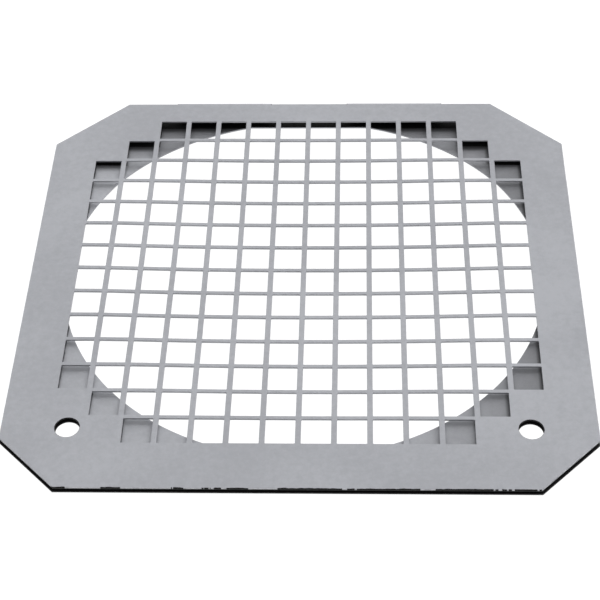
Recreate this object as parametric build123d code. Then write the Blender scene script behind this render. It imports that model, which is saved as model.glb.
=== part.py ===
from build123d import *

import os
from math import atan, cos, degrees, radians, sin, tan

# A filter frame for a round stage lamp, lying closed on its back.
# One sheet-metal blank is folded in two: a front leaf with a guard grille and a rear leaf
# with a round light opening. Two straps of the same sheet are the fold between them.
# The fold is round and holds the leaves apart. The rear leaf is bent, so that it comes up from
# the fold towards the front leaf and then runs parallel to it, a filter's gap away.
# +X is across the frame, +Y points from the open edge to the fold, +Z is up.
# Each piece is drawn with the front leaf level. main() then lays the frame down on a flat
# surface. The origin is the middle of the footprint.

# Overall sizes, in millimetres.
WIDTH = 250.0
DEPTH = 248.2
SHEET = 0.8
FILTER_GAP = 1.6
FOLD_GAP = 5.0

# The rear leaf slopes down to the fold by this angle, in degrees.
REAR_SLOPE = 3.4

# Corners cut off the two leaves. The corners at the fold are cut deeper. At the open edge the
# front leaf's corners are cut a little deeper than the rear leaf's.
FRONT_NEAR_CHAMFER = 26.0
REAR_NEAR_CHAMFER = 25.4
FAR_CHAMFER_X = 33.5
FAR_CHAMFER_Y = 31.3

# The guard grille: nearly square holes in rows, with fewer holes in the outermost rows.
GRID_Y = 3.75
GRID_PITCH = 15.0
GRID_HOLE_X = 12.6
GRID_HOLE_Y = 13.2
HOLES_IN_ROW = [10, 12] + [14] * 10 + [12, 10]

# The grille is dished towards the lamp: a hollow middle, then a turned-up rim.
DISH_DEPTH = 2.0
DISH_RADIUS = 105.0
DISH_HOLLOW_RADIUS = 84.0
SLAB_RADIUS = 190.0

# The rear leaf's opening: a circle about the grille's middle, cut straight beside the fold.
OPENING_RADIUS = 109.6
OPENING_FLAT_Y = 105.6

# The two corner holes at the open edge go through both leaves.
CORNER_HOLE_RADIUS = 5.25
CORNER_HOLE_X = 97.0
CORNER_HOLE_Y = -92.25

# The two straps left across the fold. Beside them the leaves' edges stand out a little further
# than where the straps begin to bend.
STRAP_WIDTH = 48.0
STRAP_X = 43.0
EDGE_BEYOND_BEND = 0.85

# Worked out from the sizes above.
THICKNESS = 2 * SHEET + FILTER_GAP
FOLD_THICKNESS = 2 * SHEET + FOLD_GAP
FOLD_RADIUS = FOLD_THICKNESS / 2
NEAR_Y = -DEPTH / 2
FOLD_Y = DEPTH / 2 - FOLD_RADIUS
FAR_Y = FOLD_Y + EDGE_BEYOND_BEND
FRONT_LEAF_Z = FOLD_THICKNESS - SHEET
REAR_LEAF_Z = FOLD_THICKNESS - THICKNESS
SLOPE = radians(REAR_SLOPE)
STRAP_START_Y = FOLD_Y - FOLD_RADIUS * sin(SLOPE)
STRAP_START_Z = FOLD_RADIUS * (1 - cos(SLOPE))
BEND_Y = STRAP_START_Y - (REAR_LEAF_Z - STRAP_START_Z) / tan(SLOPE)

# Laid down, the frame rests on the rear leaf's near and far edges.
REST_TILT = degrees(atan((FAR_Y - BEND_Y) * tan(SLOPE) / (FAR_Y - NEAR_Y)))

# How far cutters and unfinished sheets reach past the frame.
CUT = 40.0


def leaf_outline(near_chamfer):
    """The plan shape of a leaf: a rectangle with four corners cut off."""
    side = WIDTH / 2
    right_half = [
        (side - near_chamfer, NEAR_Y),
        (side, NEAR_Y + near_chamfer),
        (side, FAR_Y - FAR_CHAMFER_Y),
        (side - FAR_CHAMFER_X, FAR_Y),
    ]
    left_half = [(-x, y) for x, y in reversed(right_half)]
    return make_face(Polyline(*right_half, *left_half, close=True))


def leaf_blank(near_chamfer):
    """The leaf's plan shape as a tall block."""
    return extrude(leaf_outline(near_chamfer), CUT / 2, both=True)


def corner_holes():
    """Two round cutters, tall enough for both leaves."""
    cutter = Cylinder(CORNER_HOLE_RADIUS, CUT)
    return [Pos(side * CORNER_HOLE_X, CORNER_HOLE_Y) * cutter for side in (-1, 1)]


def strap_cutters(slope):
    """Two cutters that end a leaf, which slopes by this many degrees, where the straps bend."""
    cutter = Box(STRAP_WIDTH, CUT, CUT, align=(Align.CENTER, Align.MIN, Align.CENTER))
    turned = Rot(-slope, 0, 0) * cutter
    return [Pos(side * STRAP_X, FOLD_Y, FOLD_RADIUS) * turned for side in (-1, 1)]


def dish_curve(lift):
    """The dish's section from its middle to past the leaf's corners, raised by lift."""
    slope = 2 * DISH_DEPTH / DISH_RADIUS
    rim_height = -slope * (DISH_RADIUS - DISH_HOLLOW_RADIUS) / 2
    middle = Vector(0, 0, lift - DISH_DEPTH)
    turn = Vector(DISH_HOLLOW_RADIUS, 0, lift + rim_height)
    rim = Vector(DISH_RADIUS, 0, lift)
    hollow = TangentArc(middle, turn, tangent=(1, 0, 0))
    rise = TangentArc(turn, rim, tangent=hollow % 1)
    flat = Line(rim, Vector(SLAB_RADIUS, 0, lift))
    return hollow, rise, flat


def dished_slab():
    """A round slab of sheet thickness with the dish pressed into its middle."""
    under = dish_curve(FRONT_LEAF_Z)
    upper = dish_curve(FRONT_LEAF_Z + SHEET)
    middle_edge = Line(under[0] @ 0, upper[0] @ 0)
    outer_edge = Line(under[2] @ 1, upper[2] @ 1)
    section = make_face([*under, outer_edge, *upper, middle_edge])
    return Pos(0, GRID_Y) * revolve(section, Axis.Z)


def grille_cutter():
    """All the holes of the grille as one cutter."""
    hole = Rectangle(GRID_HOLE_X, GRID_HOLE_Y)
    holes = []
    middle_row = (len(HOLES_IN_ROW) - 1) / 2
    for row, count in enumerate(HOLES_IN_ROW):
        y = GRID_Y + (row - middle_row) * GRID_PITCH
        for column in range(count):
            x = (column - (count - 1) / 2) * GRID_PITCH
            holes.append(Pos(x, y) * hole)
    return extrude(Sketch() + holes, CUT)


def front_grille_leaf():
    """The front leaf: dished slab, cut to the outline, with grille and corner holes."""
    leaf = dished_slab() & leaf_blank(FRONT_NEAR_CHAMFER)
    return leaf - [grille_cutter(), *corner_holes(), *strap_cutters(0)]


def light_opening():
    """The rear leaf's opening as a tall cutter."""
    circle = Circle(OPENING_RADIUS)
    below_flat = Pos(0, OPENING_FLAT_Y - WIDTH / 2) * Rectangle(WIDTH, WIDTH)
    return Pos(0, GRID_Y) * extrude(circle & below_flat, CUT / 2, both=True)


def bent_sheet():
    """A sheet, larger than the rear leaf, that is level and then slopes down to the fold."""
    under_bend = Vector(BEND_Y, REAR_LEAF_Z)
    upper_bend = under_bend + Vector(SHEET * tan(SLOPE / 2), SHEET)
    under_start = Vector(NEAR_Y - CUT, REAR_LEAF_Z)
    upper_start = under_start + Vector(0, SHEET)
    under_end = under_bend + Vector(cos(SLOPE), -sin(SLOPE)) * WIDTH / 2
    upper_end = under_end + Vector(sin(SLOPE), cos(SLOPE)) * SHEET
    corners = [under_start, under_bend, under_end, upper_end, upper_bend, upper_start]
    section = make_face(Polyline(*corners, close=True))
    side = Plane(origin=(-WIDTH / 2 - CUT, 0, 0), x_dir=(0, 1, 0), z_dir=(1, 0, 0))
    return extrude(side * section, WIDTH + 2 * CUT)


def rear_ring_leaf():
    """The rear leaf: bent sheet with the light opening and the corner holes."""
    leaf = bent_sheet() & leaf_blank(REAR_NEAR_CHAMFER)
    return leaf - [light_opening(), *corner_holes(), *strap_cutters(REAR_SLOPE)]


def fold_strap(middle_x):
    """One strap of the fold: half a turn of sheet from the rear leaf to the front leaf."""
    start = -90.0 - REAR_SLOPE
    turn = 180.0 + REAR_SLOPE
    outer = CenterArc((0, 0), FOLD_RADIUS, start, turn)
    inner = CenterArc((0, 0), FOLD_RADIUS - SHEET, start, turn)
    section = make_face([outer, Line(outer @ 1, inner @ 1), inner, Line(inner @ 0, outer @ 0)])
    corner = (middle_x - STRAP_WIDTH / 2, FOLD_Y, FOLD_RADIUS)
    side = Plane(origin=corner, x_dir=(0, 1, 0), z_dir=(1, 0, 0))
    return extrude(side * section, STRAP_WIDTH)


def main():
    os.makedirs("parts", exist_ok=True)
    lay_down = Pos(0, NEAR_Y, 0) * Rot(REST_TILT, 0, 0) * Pos(0, -NEAR_Y, -REAR_LEAF_Z)
    nodes = {
        "front_grille_leaf": front_grille_leaf(),
        "rear_ring_leaf": rear_ring_leaf(),
        "left_fold_strap": fold_strap(-STRAP_X),
        "right_fold_strap": fold_strap(STRAP_X),
    }
    for name, solid in nodes.items():
        export_step(lay_down * solid, f"parts/{name}.step")


main()
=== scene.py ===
import math

import bmesh
import bpy
from mathutils import Matrix, Quaternion, Vector


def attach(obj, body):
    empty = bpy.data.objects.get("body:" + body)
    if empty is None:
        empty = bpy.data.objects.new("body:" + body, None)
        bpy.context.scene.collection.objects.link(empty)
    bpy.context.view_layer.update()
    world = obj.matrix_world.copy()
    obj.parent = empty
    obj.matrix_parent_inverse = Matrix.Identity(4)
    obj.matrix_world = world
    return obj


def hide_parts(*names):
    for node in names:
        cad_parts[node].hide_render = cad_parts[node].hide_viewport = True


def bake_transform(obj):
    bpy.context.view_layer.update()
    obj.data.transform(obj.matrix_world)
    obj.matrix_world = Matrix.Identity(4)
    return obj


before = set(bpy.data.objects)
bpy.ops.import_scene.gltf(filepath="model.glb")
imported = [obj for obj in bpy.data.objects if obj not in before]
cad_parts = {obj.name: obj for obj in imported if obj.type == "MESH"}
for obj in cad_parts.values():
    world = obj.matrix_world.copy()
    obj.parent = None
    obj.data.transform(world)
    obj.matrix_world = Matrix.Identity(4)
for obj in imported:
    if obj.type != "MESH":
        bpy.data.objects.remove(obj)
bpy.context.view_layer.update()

# A folded sheet-metal filter frame, lying closed on a lit white table.
# The two leaves and the two fold straps are rebuilt with rounded sheared edges, at the places
# and sizes of the CAD nodes. Each piece is drawn with the front leaf level and then laid down
# on the table, as in the CAD. All lengths are in metres.

MM = 0.001

# The sheet, the two leaves' outlines and the fold.
SIDE = 125.0 * MM
NEAR_Y = -124.1 * MM
FOLD_Y = 120.8 * MM
FAR_Y = 121.65 * MM
SHEET = 0.8 * MM
FILTER_GAP = 1.6 * MM
FOLD_RADIUS = 3.3 * MM
REAR_SLOPE = math.radians(3.4)
FRONT_NEAR_CHAMFER = 26.0 * MM
REAR_NEAR_CHAMFER = 25.4 * MM
FAR_CHAMFER_X = 33.5 * MM
FAR_CHAMFER_Y = 31.3 * MM
STRAP_X = 43.0 * MM
STRAP_WIDTH = 48.0 * MM

# The grille and its dish.
GRID_Y = 3.75 * MM
PITCH = 15.0 * MM
HOLE_X = 12.6 * MM
HOLE_Y = 13.2 * MM
HOLES_IN_ROW = [10, 12] + [14] * 10 + [12, 10]
MIDDLE_ROW = (len(HOLES_IN_ROW) - 1) / 2
HOLE_CORNER = 0.30 * MM
DISH_DEPTH = 2.0 * MM
DISH_RADIUS = 105.0 * MM
DISH_HOLLOW_RADIUS = 84.0 * MM

# The light opening and the corner holes.
OPENING_RADIUS = 109.6 * MM
OPENING_FLAT_Y = 105.6 * MM
CORNER_HOLE_RADIUS = 5.25 * MM
CORNER_HOLE_X = 97.0 * MM
CORNER_HOLE_Y = -92.25 * MM

# Shearing rounds a sheet's edge on the punch side and leaves a sharp lip on the other. Where a
# strap carries the sheet on, there is no edge, and its rounding is next to nothing.
OUTLINE_ROLL = 0.20 * MM
GRILLE_ROLL = 0.12 * MM
CORNER_HOLE_ROLL = 0.14 * MM
OPENING_ROLL = 0.18 * MM
STRAP_END_ROLL = 0.0005 * MM
LIP = 0.03 * MM

# The rear leaf's bend is eased over this length on each side of its line.
BEND_EASE = 3.0 * MM

# How finely outlines and curves are divided.
OUTLINE_STEP = 2.0 * MM
SMALL_CORNER_STEPS = 3
CORNER_HOLE_STEPS = 64
OPENING_STEPS = 200
OPENING_FLAT_STEPS = 20
BEND_STEPS = 3
STRAP_STEPS = 28

# Two sides of an outline meet at a corner if the cosine of the turn between them is below
# SMOOTH_COSINE. Two places are the same if they are within TOUCHING.
SMOOTH_COSINE = 0.8
TOUCHING = 0.01 * MM

# Worked out from the sizes above.
TOP_Z = 2 * FOLD_RADIUS
REAR_LEAF_Z = TOP_Z - 2 * SHEET - FILTER_GAP
STRAP_START_Y = FOLD_Y - FOLD_RADIUS * math.sin(REAR_SLOPE)
STRAP_START_Z = FOLD_RADIUS * (1 - math.cos(REAR_SLOPE))
BEND_Y = STRAP_START_Y - (REAR_LEAF_Z - STRAP_START_Z) / math.tan(REAR_SLOPE)
REST_TILT = math.atan((FAR_Y - BEND_Y) * math.tan(REAR_SLOPE) / (FAR_Y - NEAR_Y))
LAY_DOWN = (
    Matrix.Translation((0, NEAR_Y, 0))
    @ Matrix.Rotation(REST_TILT, 4, "X")
    @ Matrix.Translation((0, -NEAR_Y, -REAR_LEAF_Z))
)

# Places of the materials in the list that each piece gets.
PAINT, FRONT_EDGE, REAR_EDGE, HOLE_WALL, INSIDE = range(5)


# ---------------------------------------------------------------- camera

CAMERA_PLACE = (24.3 * MM, -540.5 * MM, 526.0 * MM)
CAMERA_AIM = (-1.12 * MM, -17.5 * MM, 4.7 * MM)
CAMERA_ROLL = math.radians(-1.86)
LENS_IN_MM = 98.73


def make_camera():
    """From the open edge's side, well above, turned a little about its own line of sight."""
    data = bpy.data.cameras.new("camera")
    data.sensor_width = 36.0
    data.lens = LENS_IN_MM
    data.clip_start = 0.01
    camera = bpy.data.objects.new("camera", data)
    bpy.context.scene.collection.objects.link(camera)
    camera.location = CAMERA_PLACE
    level = (Vector(CAMERA_AIM) - camera.location).to_track_quat("-Z", "Y")
    camera.rotation_mode = "QUATERNION"
    camera.rotation_quaternion = level @ Quaternion((0, 0, 1), CAMERA_ROLL)
    bpy.context.scene.camera = camera


# ---------------------------------------------------------------- shader helpers

class Nodes:
    """A new material, with short ways to add shader nodes to it and link them."""

    def __init__(self, name):
        self.material = bpy.data.materials.new(name)
        self.material.use_nodes = True
        self.tree = self.material.node_tree
        self.shader = self.tree.nodes["Principled BSDF"]
        self.place = self.tree.nodes.new("ShaderNodeTexCoord").outputs["Object"]

    def link(self, source, target):
        self.tree.links.new(source, target)

    def math(self, operation, a, b=0.0):
        node = self.tree.nodes.new("ShaderNodeMath")
        node.operation = operation
        for socket, value in zip(node.inputs, (a, b)):
            if isinstance(value, (int, float)):
                socket.default_value = value
            else:
                self.link(value, socket)
        return node.outputs[0]

    def noise(self, size, detail=3.0, roughness=0.55, stretch=(1, 1, 1)):
        """Noise from 0 to 1 whose features are about size metres across."""
        scaled = self.tree.nodes.new("ShaderNodeVectorMath")
        scaled.operation = "MULTIPLY"
        scaled.inputs[1].default_value = [s / size for s in stretch]
        self.link(self.place, scaled.inputs[0])
        node = self.tree.nodes.new("ShaderNodeTexNoise")
        node.inputs["Scale"].default_value = 1.0
        node.inputs["Detail"].default_value = detail
        node.inputs["Roughness"].default_value = roughness
        self.link(scaled.outputs[0], node.inputs["Vector"])
        return node.outputs["Fac"]

    def wander(self, size, detail, roughness, width):
        """Noise about 0, width metres from its lowest to its highest, to make a line ragged."""
        centred = self.math("SUBTRACT", self.noise(size, detail, roughness), 0.5)
        return self.math("MULTIPLY", centred, width)

    def ramp(self, source, low, high, a=0.0, b=1.0):
        """source carried from low..high to a..b, eased at both ends."""
        node = self.tree.nodes.new("ShaderNodeMapRange")
        node.interpolation_type = "SMOOTHSTEP"
        for name, value in zip(("From Min", "From Max", "To Min", "To Max"), (low, high, a, b)):
            node.inputs[name].default_value = value
        self.link(source, node.inputs["Value"])
        return node.outputs["Result"]

    def mix(self, factor, a, b):
        """Colour a where factor is 0 and b where it is 1."""
        node = self.tree.nodes.new("ShaderNodeMix")
        node.data_type = "RGBA"
        self.link(factor, node.inputs[0])
        for socket, value in zip((node.inputs[6], node.inputs[7]), (a, b)):
            if isinstance(value, tuple):
                socket.default_value = (*value, 1.0)
            else:
                self.link(value, socket)
        return node.outputs[2]

    def bump(self, height, distance, strength, under=None):
        """The normal of a rough surface, on top of the roughness of the normal called under."""
        node = self.tree.nodes.new("ShaderNodeBump")
        node.inputs["Strength"].default_value = strength
        node.inputs["Distance"].default_value = distance
        self.link(height, node.inputs["Height"])
        if under is not None:
            self.link(under, node.inputs["Normal"])
        return node.outputs["Normal"]

    def axis(self, letter):
        """A place's X, Y or Z, in metres."""
        node = self.tree.nodes.new("ShaderNodeSeparateXYZ")
        self.link(self.place, node.inputs[0])
        return node.outputs[letter]

    def surface(self, colour, normal, specular):
        """Gives the shader its colour, its normal and the strength of its highlights."""
        self.link(colour, self.shader.inputs["Base Color"])
        self.link(normal, self.shader.inputs["Normal"])
        self.shader.inputs["Specular IOR Level"].default_value = specular


# ---------------------------------------------------------------- materials

PAINT_LIGHT = (0.438, 0.447, 0.476)
PAINT_DARK = (0.372, 0.379, 0.405)
PAINT_FLAKE = (0.50, 0.51, 0.54)
# The lightest paint colour is a painted highlight for the front leaf's rounded edge.
PAINT_EDGE_HIGHLIGHT = (0.62, 0.63, 0.66)

# Bare steel is black. The rear leaf's edge is drawn a lighter dark grey.
# On the inner faces beyond the grille, STEEL_DARK and STEEL_LIGHT are painted shade of the gap
# between the leaves.
STEEL_DARK = (0.010, 0.010, 0.010)
STEEL_LIGHT = (0.036, 0.036, 0.037)
REAR_EDGE_DARK = (0.045, 0.045, 0.046)
REAR_EDGE_LIGHT = (0.130, 0.130, 0.133)

# Half the width of the band inside the grille's edge, at the fold side and the right-hand side,
# where the inner faces are darkened as painted shadow of the rims above.
SHADE_BAND_FAR = 3.5 * MM
SHADE_BAND_RIGHT = 2.0 * MM


def paint_colour(n):
    """Satin silver-grey lacquer: faint clouds, fine mottling and sparse bright flakes."""
    clouds = n.noise(70 * MM, 2.0)
    mottle = n.noise(3.5 * MM, 5.0, 0.75)
    both = n.math("ADD", n.math("MULTIPLY", clouds, 0.5), n.math("MULTIPLY", mottle, 0.5))
    base = n.mix(n.ramp(both, 0.35, 0.65), PAINT_DARK, PAINT_LIGHT)
    flakes = n.ramp(n.noise(0.22 * MM, 1.0), 0.66, 0.80, 0.0, 0.5)
    return n.mix(flakes, base, PAINT_FLAKE)


def paint_bump(n):
    """Orange peel of sprayed lacquer over the sheet's fine rolling grain."""
    peel = n.bump(n.noise(1.1 * MM, 2.0), 0.02 * MM, 0.25)
    return n.bump(n.noise(0.25 * MM, 3.0, 0.7), 0.006 * MM, 0.25, peel)


def steel_colour(n, dark, light):
    """Dark sheared steel, streaked across the sheet's thickness."""
    streaks = n.noise(0.5 * MM, 4.0, 0.7, (1, 1, 0.25))
    return n.mix(n.ramp(streaks, 0.42, 0.75), dark, light)


def worn_places(n, reach):
    """1 where the open edge is rubbed bare: stretches of it, up to reach metres from the edge.
    The right-hand part of the edge is worn the most."""
    stretches = n.noise(11 * MM, 3.0, 0.6, (1, 0.05, 0.05))
    handled = n.ramp(n.axis("X"), -30 * MM, 40 * MM, -0.01, 0.09)
    from_edge = n.math("SUBTRACT", n.axis("Y"), NEAR_Y)
    depth = n.math("SUBTRACT", from_edge, n.wander(2.5 * MM, 3.0, 0.6, 0.9 * MM))
    near = n.ramp(depth, reach, reach + 0.05 * MM, 1.0, 0.0)
    return n.math("MULTIPLY", n.ramp(n.math("ADD", stretches, handled), 0.50, 0.505), near)


def painted():
    """The outer faces, the grille's edges and the opening's edge: paint, worn at the open edge."""
    n = Nodes("silver_grey_paint")
    steel = steel_colour(n, STEEL_DARK, STEEL_LIGHT)
    n.surface(n.mix(worn_places(n, 0.45 * MM), paint_colour(n), steel), paint_bump(n), 0.05)
    n.link(n.ramp(n.noise(3 * MM, 4.0), 0.3, 0.7, 0.60, 0.68), n.shader.inputs["Roughness"])
    return n.material


def dark_lower_edge(n):
    """1 on the lower part of the front leaf's outer edge, below a ragged line a little under its
    upper face, where the edge is drawn as dark steel.
    """
    rise = n.math("MULTIPLY", n.math("SUBTRACT", n.axis("Y"), NEAR_Y), math.tan(REST_TILT))
    upper_face = n.math("ADD", rise, 2 * SHEET + FILTER_GAP)
    down = n.math("SUBTRACT", upper_face, n.axis("Z"))
    depth = n.math("ADD", down, n.wander(4 * MM, 3.0, 0.6, 0.4 * MM))
    return n.ramp(depth, 0.30 * MM, 0.40 * MM)


def front_edge():
    """The front leaf's sheared edge: painted along its top, lightened in patches as a painted
    highlight of its rounded shoulder, and rubbed bare in stretches at the open edge."""
    n = Nodes("front_sheared_edge")
    # Patches of a lighter paint colour along the edge: painted highlight.
    highlighted_paint = n.mix(n.ramp(n.noise(4 * MM, 3.0), 0.35, 0.60), paint_colour(n), PAINT_EDGE_HIGHLIGHT)
    steel = steel_colour(n, STEEL_DARK, STEEL_LIGHT)
    dark_steel_places = n.math("MAXIMUM", worn_places(n, 0.8 * MM), dark_lower_edge(n))
    rough = n.bump(n.noise(0.4 * MM, 4.0, 0.7), 0.03 * MM, 0.4)
    n.surface(n.mix(dark_steel_places, highlighted_paint, steel), rough, 0.15)
    n.shader.inputs["Roughness"].default_value = 0.6
    return n.material


def bare_edge(name, dark, light):
    """A sheared edge that the paint didn't cover."""
    n = Nodes(name)
    rough = n.bump(n.noise(0.4 * MM, 4.0, 0.7), 0.04 * MM, 0.5)
    n.surface(steel_colour(n, dark, light), rough, 0.1)
    n.shader.inputs["Roughness"].default_value = 0.65
    return n.material


def beyond_grille(n, shift_x=0.0, shift_y=0.0):
    """How far a place, once shifted, is outside the grille's stepped outline, in metres. It is
    negative inside the outline."""
    across = n.math("ABSOLUTE", n.math("ADD", n.axis("X"), shift_x))
    along = n.math("ABSOLUTE", n.math("ADD", n.axis("Y"), shift_y - GRID_Y))
    outside = None
    for count in sorted(set(HOLES_IN_ROW)):
        last_row = len(HOLES_IN_ROW) - 1 - HOLES_IN_ROW.index(count)
        reach_x = (count - 1) / 2 * PITCH + HOLE_X / 2
        reach_y = (last_row - MIDDLE_ROW) * PITCH + HOLE_Y / 2
        past_side = n.math("SUBTRACT", across, reach_x)
        past_end = n.math("SUBTRACT", along, reach_y)
        past = n.math("MAXIMUM", past_side, past_end)
        outside = past if outside is None else n.math("MINIMUM", outside, past)
    return outside


def inside():
    """The leaves' inner faces: paint where they show through the grille, and painted shade beyond
    it, where a dark steel colour stands for the shade in the gap between the leaves. More painted
    shade darkens the paint towards the fold and the right-hand side, and in a band inside the
    grille's edge there."""
    n = Nodes("inner_face")
    # Beyond the grille's edge the inner faces take the dark steel colour: painted shade of the gap
    # between the leaves.
    ragged = n.math("ADD", beyond_grille(n), n.wander(5 * MM, 3.0, 0.55, 1 * MM))
    bare = n.ramp(ragged, -0.6 * MM, 0.6 * MM)
    shade_band_far = n.ramp(beyond_grille(n, shift_y=SHADE_BAND_FAR), -SHADE_BAND_FAR, SHADE_BAND_FAR)
    shade_band_right = n.ramp(beyond_grille(n, shift_x=SHADE_BAND_RIGHT), -SHADE_BAND_RIGHT, SHADE_BAND_RIGHT)
    # Painted shade: darker towards the fold and the right-hand side, and under the far and
    # right-hand rims.
    painted_shade_places = [
        n.ramp(n.axis("Y"), 62 * MM, 112 * MM, 0.05, 0.55),
        n.ramp(n.axis("X"), 20 * MM, 125 * MM, 0.0, 0.60),
        n.math("MULTIPLY", shade_band_far, n.ramp(n.axis("Y"), 60 * MM, 85 * MM, 0.0, 0.85)),
        n.math("MULTIPLY", shade_band_right, n.ramp(n.axis("X"), 60 * MM, 95 * MM, 0.0, 0.80)),
    ]
    for thin in painted_shade_places:
        bare = n.math("MAXIMUM", bare, thin)
    steel = steel_colour(n, STEEL_DARK, STEEL_LIGHT)
    n.surface(n.mix(bare, paint_colour(n), steel), paint_bump(n), 0.15)
    n.shader.inputs["Roughness"].default_value = 0.6
    return n.material


# ---------------------------------------------------------------- outlines of the sheet

def divided(points, step):
    """A closed run of points with its long sides divided into about equal steps."""
    out = []
    for (ax, ay), (bx, by) in zip(points, points[1:] + points[:1]):
        count = max(1, round(math.hypot(bx - ax, by - ay) / step))
        out += [(ax + (bx - ax) * i / count, ay + (by - ay) * i / count) for i in range(count)]
    return out


def leaf_outline(near_chamfer, strap_y):
    """A leaf's outer edge, anticlockwise, cut back to strap_y where the two straps begin."""
    right = [
        (SIDE - near_chamfer, NEAR_Y),
        (SIDE, NEAR_Y + near_chamfer),
        (SIDE, FAR_Y - FAR_CHAMFER_Y),
        (SIDE - FAR_CHAMFER_X, FAR_Y),
    ]
    left = [(-x, y) for x, y in reversed(right)]
    straps = []
    for strap_x in (STRAP_X, -STRAP_X):
        high_x = strap_x + STRAP_WIDTH / 2
        low_x = strap_x - STRAP_WIDTH / 2
        straps += [(high_x, FAR_Y), (high_x, strap_y), (low_x, strap_y), (low_x, FAR_Y)]
    return divided(right + straps + left, OUTLINE_STEP)


def arc(centre, radius, start, end, count):
    """Points on an arc from start to end, in radians, both ends included."""
    turns = [start + (end - start) * i / count for i in range(count + 1)]
    return [(centre[0] + radius * math.cos(t), centre[1] + radius * math.sin(t)) for t in turns]


def corner_hole(side):
    """A corner hole's edge, clockwise."""
    centre = (side * CORNER_HOLE_X, CORNER_HOLE_Y)
    return arc(centre, CORNER_HOLE_RADIUS, 2 * math.pi, 0, CORNER_HOLE_STEPS)[:-1]


def grille_hole(x, y):
    """The edge of the grille's hole whose middle is at x, y, clockwise, its corners rounded."""
    inner_x = HOLE_X / 2 - HOLE_CORNER
    inner_y = HOLE_Y / 2 - HOLE_CORNER
    quarter = math.pi / 2
    corners = [(1, 1, quarter), (1, -1, 0), (-1, -1, -quarter), (-1, 1, -2 * quarter)]
    points = []
    for side_x, side_y, start in corners:
        centre = (x + side_x * inner_x, y + side_y * inner_y)
        points += arc(centre, HOLE_CORNER, start, start - quarter, SMALL_CORNER_STEPS)
    return points


def grille_holes():
    """The edges of all the grille's holes."""
    holes = []
    for row, count in enumerate(HOLES_IN_ROW):
        y = GRID_Y + (row - MIDDLE_ROW) * PITCH
        for column in range(count):
            x = (column - (count - 1) / 2) * PITCH
            holes.append(grille_hole(x, y))
    return holes


def light_opening():
    """The edge of the rear leaf's opening, clockwise: a circle cut straight beside the fold."""
    corner = math.asin(OPENING_FLAT_Y / OPENING_RADIUS)
    curve = arc((0, GRID_Y), OPENING_RADIUS, corner, -math.pi - corner, OPENING_STEPS)
    half = OPENING_RADIUS * math.cos(corner)
    flat_y = GRID_Y + OPENING_FLAT_Y
    flat = [(half * (2 * i / OPENING_FLAT_STEPS - 1), flat_y) for i in range(1, OPENING_FLAT_STEPS)]
    return curve + flat


# ---------------------------------------------------------------- heights of the sheet

def dish_height(x, y):
    """The front leaf's height above its flat rim: the grille is pressed down."""
    radius = math.hypot(x, y - GRID_Y)
    slope = 2 * DISH_DEPTH / DISH_RADIUS
    rim = DISH_RADIUS - DISH_HOLLOW_RADIUS
    if radius >= DISH_RADIUS:
        return 0.0
    if radius >= DISH_HOLLOW_RADIUS:
        return -slope * (DISH_RADIUS - radius) ** 2 / (2 * rim)
    return slope * radius ** 2 / (2 * DISH_HOLLOW_RADIUS) - DISH_DEPTH


def bend_height(x, y):
    """The rear leaf's height above its level part: it slopes down from its bend to the fold."""
    slope = math.tan(REAR_SLOPE)
    beyond = y - BEND_Y
    if beyond <= -BEND_EASE:
        return 0.0
    if beyond < BEND_EASE:
        return -slope * (beyond + BEND_EASE) ** 2 / (4 * BEND_EASE)
    return -slope * beyond


# ---------------------------------------------------------------- sheet with sheared edges

def side_normals(points, i):
    """The left-hand normals of the two sides that meet at a point of a closed run."""
    here = Vector(points[i])
    before = (here - Vector(points[i - 1])).normalized()
    after = (Vector(points[(i + 1) % len(points)]) - here).normalized()
    return Vector((-before.y, before.x)), Vector((-after.y, after.x))


def is_corner(points, i):
    n1, n2 = side_normals(points, i)
    return n1.dot(n2) < SMOOTH_COSINE


def inset(points, distances):
    """A closed run of points moved to its left, into the metal, by a distance at each point."""
    out = []
    for i, (x, y) in enumerate(points):
        n1, n2 = side_normals(points, i)
        move = (n1 + n2) / (1 + n1.dot(n2)) * distances[i]
        out.append((x + move.x, y + move.y))
    return out


def edge_rings(points, rolls):
    """The runs of (x, y, depth) that make a sheared edge, from the rounded side to the lip."""
    rings = []
    for turn in (0, math.pi / 6, math.pi / 3, math.pi / 2):
        ring = inset(points, [roll * (1 - math.sin(turn)) for roll in rolls])
        depths = [roll * (1 - math.cos(turn)) for roll in rolls]
        rings.append([(x, y, depth) for (x, y), depth in zip(ring, depths)])
    rings.append([(x, y, SHEET - LIP) for x, y in points])
    rings.append([(x, y, SHEET) for x, y in inset(points, [LIP] * len(points))])
    return rings


def add_skin(bm, rows, materials):
    """Faces between closed rows of vertices, with a material for each side of a row."""
    for upper, lower in zip(rows, rows[1:]):
        for i, material in enumerate(materials):
            j = (i + 1) % len(materials)
            face = bm.faces.new((upper[i], upper[j], lower[j], lower[i]))
            face.material_index = material


def add_sheared_edge(bm, points, rolls, material, outer_z, direction):
    """The faces of a sheared edge. Returns the closed rows of vertices at its two ends."""
    rows = []
    for ring in edge_rings(points, rolls):
        rows.append([bm.verts.new((x, y, outer_z - direction * depth)) for x, y, depth in ring])
    add_skin(bm, rows, [material] * len(points))
    for i in range(len(points)):
        if is_corner(points, i):
            for upper, lower in zip(rows, rows[1:]):
                bm.edges.get((upper[i], lower[i])).smooth = False
    return rows[0], rows[-1]


def sharp_edges(bm, row):
    """The edges of a closed row of vertices, which become sharp in the shading."""
    edges = [bm.edges.get((row[i - 1], row[i])) for i in range(len(row))]
    for edge in edges:
        edge.smooth = False
    return edges


def fill_face(bm, edges, material):
    """The flat face of a sheet between its outline and its holes."""
    filled = bmesh.ops.triangle_fill(bm, use_beauty=True, edges=edges)
    for face in filled["geom"]:
        if isinstance(face, bmesh.types.BMFace):
            face.material_index = material


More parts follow.
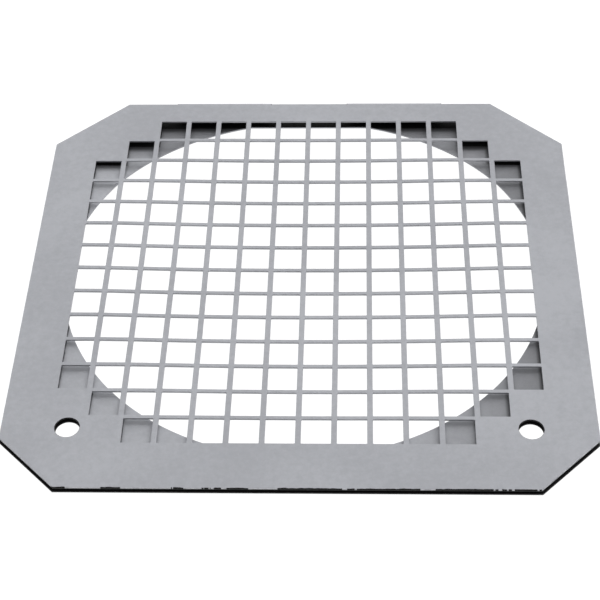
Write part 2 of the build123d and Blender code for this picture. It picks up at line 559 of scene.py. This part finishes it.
def sheet_mesh(loops, outer_z, direction, bends, height):
    """A sheet with holes. loops are (points, rolls, edge material), the first one the outline.
    The rounded side is at outer_z, and direction (+1 or -1) points from the sheet out of it.
    The sheet is cut along lines at the given bends and then raised by height(x, y)."""
    bm = bmesh.new()
    outer_edges = []
    inner_edges = []
    for points, rolls, edge_material in loops:
        outer_row, inner_row = add_sheared_edge(bm, points, rolls, edge_material, outer_z, direction)
        outer_edges += sharp_edges(bm, outer_row)
        inner_edges += sharp_edges(bm, inner_row)
    fill_face(bm, outer_edges, PAINT)
    fill_face(bm, inner_edges, INSIDE)
    for y in bends:
        everything = bm.verts[:] + bm.edges[:] + bm.faces[:]
        bmesh.ops.bisect_plane(bm, geom=everything, plane_co=(0, y, 0), plane_no=(0, 1, 0))
    for vert in bm.verts:
        vert.co.z += height(vert.co.x, vert.co.y)
    return bm


def finished(bm, name, materials):
    """The mesh laid down on the table, as an object with the frame's materials."""
    for face in bm.faces:
        face.smooth = True
    bmesh.ops.recalc_face_normals(bm, faces=bm.faces)
    bm.transform(LAY_DOWN)
    mesh = bpy.data.meshes.new(name)
    bm.to_mesh(mesh)
    bm.free()
    for material in materials:
        mesh.materials.append(material)
    piece = bpy.data.objects.new(name, mesh)
    bpy.context.scene.collection.objects.link(piece)
    return piece


def outline_loop(near_chamfer, strap_y, edge_material):
    """A leaf's outline with its rounding, which stops where a strap carries the sheet on."""
    points = leaf_outline(near_chamfer, strap_y)
    rolls = []
    for x, y in points:
        beside_strap = abs(abs(x) - STRAP_X) < STRAP_WIDTH / 2 + TOUCHING
        on_strap = beside_strap and abs(y - strap_y) < TOUCHING
        rolls.append(STRAP_END_ROLL if on_strap else OUTLINE_ROLL)
    return points, rolls, edge_material


def hole_loop(points, roll, edge_material):
    return points, [roll] * len(points), edge_material


def corner_hole_loops():
    return [hole_loop(corner_hole(side), CORNER_HOLE_ROLL, HOLE_WALL) for side in (-1, 1)]


def front_leaf(materials):
    """The front leaf with its dished grille, rounded on top."""
    loops = [outline_loop(FRONT_NEAR_CHAMFER, FOLD_Y, FRONT_EDGE)] + corner_hole_loops()
    loops += [hole_loop(points, GRILLE_ROLL, PAINT) for points in grille_holes()]
    sheet = sheet_mesh(loops, TOP_Z, 1, [], dish_height)
    piece = finished(sheet, "front_leaf_sheet", materials)
    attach(piece, "front_leaf")
    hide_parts("front_grille_leaf")


def rear_leaf(materials):
    """The rear leaf with its light opening, rounded underneath and bent down to the fold."""
    loops = [outline_loop(REAR_NEAR_CHAMFER, STRAP_START_Y, REAR_EDGE)] + corner_hole_loops()
    loops.append(hole_loop(light_opening(), OPENING_ROLL, PAINT))
    bends = [BEND_Y + BEND_EASE * step / BEND_STEPS for step in range(-BEND_STEPS, BEND_STEPS + 1)]
    sheet = sheet_mesh(loops, REAR_LEAF_Z, -1, bends, bend_height)
    piece = finished(sheet, "rear_leaf_sheet", materials)
    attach(piece, "rear_leaf")
    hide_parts("rear_ring_leaf")


# ---------------------------------------------------------------- fold straps

def strap_section():
    """A strap's cross-section as (x, height in the sheet, material of the next side)."""
    half = STRAP_WIDTH / 2
    centre = (half - OUTLINE_ROLL, SHEET - OUTLINE_ROLL)
    rounding = arc(centre, OUTLINE_ROLL, math.pi / 2, 0, SMALL_CORNER_STEPS)
    right = rounding + [(half, LIP), (half - LIP, 0.0)]
    left = [(-x, height) for x, height in reversed(right)]
    edge = [REAR_EDGE] * (len(right) - 1)
    materials = [*edge, INSIDE, *edge, PAINT]
    return [(x, height, material) for (x, height), material in zip(right + left, materials)]


def fold_strap(side, name, materials):
    """One strap of the fold: half a turn of sheet from the rear leaf to the front leaf."""
    bm = bmesh.new()
    section = strap_section()
    rows = []
    for step in range(STRAP_STEPS + 1):
        angle = -math.pi / 2 - REAR_SLOPE + (math.pi + REAR_SLOPE) * step / STRAP_STEPS
        row = []
        for x, height, _ in section:
            radius = FOLD_RADIUS - SHEET + height
            y = FOLD_Y + radius * math.cos(angle)
            z = FOLD_RADIUS + radius * math.sin(angle)
            row.append(bm.verts.new((side * STRAP_X + x, y, z)))
        rows.append(row)
    add_skin(bm, rows, [material for _, _, material in section])
    for row in (rows[0], rows[-1]):
        bm.faces.new(row).material_index = PAINT
        sharp_edges(bm, row)
    piece = finished(bm, f"{name}_strap_sheet", materials)
    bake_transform(piece)
    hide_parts(f"{name}_fold_strap")


# ---------------------------------------------------------------- table and light

def make_floor():
    """A plain white table top that glows softly, so that shadows on it stay pale. It is just
    below the frame, and reaches well past the camera's view."""
    half = 12.0
    corners = [(-half, -half, 0), (half, -half, 0), (half, half, 0), (-half, half, 0)]
    mesh = bpy.data.meshes.new("table_top")
    mesh.from_pydata(corners, [], [(0, 1, 2, 3)])
    floor = bpy.data.objects.new("table_top", mesh)
    floor.location.z = -0.05 * MM
    bpy.context.scene.collection.objects.link(floor)
    material = bpy.data.materials.new("table_top")
    material.use_nodes = True
    shader = material.node_tree.nodes["Principled BSDF"]
    shader.inputs["Base Color"].default_value = (0.1, 0.1, 0.1, 1)
    shader.inputs["Roughness"].default_value = 0.9
    shader.inputs["Specular IOR Level"].default_value = 0.0
    shader.inputs["Emission Color"].default_value = (1, 1, 1, 1)
    shader.inputs["Emission Strength"].default_value = 1.0
    mesh.materials.append(material)


def add_softbox(name, place, width, depth, watts):
    """A rectangular soft light that faces the middle of the table."""
    data = bpy.data.lights.new(name, "AREA")
    data.shape = "RECTANGLE"
    data.size = width
    data.size_y = depth
    data.energy = watts
    box = bpy.data.objects.new(name, data)
    box.location = place
    box.rotation_mode = "QUATERNION"
    box.rotation_quaternion = (-box.location).to_track_quat("-Z", "Y")
    bpy.context.scene.collection.objects.link(box)


def make_lights():
    """A wide soft box high behind the frame, a weaker one overhead and a dim even surround."""
    add_softbox("back_softbox", place=(1.6, 6.6, 6.2), width=15.0, depth=8.4, watts=1100.0)
    add_softbox("top_softbox", place=(0.2, -0.3, 3.0), width=2.6, depth=2.6, watts=26.0)
    world = bpy.data.worlds.new("surround")
    world.use_nodes = True
    background = world.node_tree.nodes["Background"]
    background.inputs["Color"].default_value = (1.0, 1.0, 1.0, 1)
    background.inputs["Strength"].default_value = 0.20
    bpy.context.scene.world = world


make_camera()
piece_materials = [
    painted(),
    front_edge(),
    bare_edge("rear_sheared_edge", REAR_EDGE_DARK, REAR_EDGE_LIGHT),
    bare_edge("corner_hole_wall", STEEL_DARK, STEEL_LIGHT),
    inside(),
]
front_leaf(piece_materials)
rear_leaf(piece_materials)
fold_strap(-1, "left", piece_materials)
fold_strap(1, "right", piece_materials)
make_floor()
make_lights()
bpy.context.scene.view_settings.view_transform = "Standard"
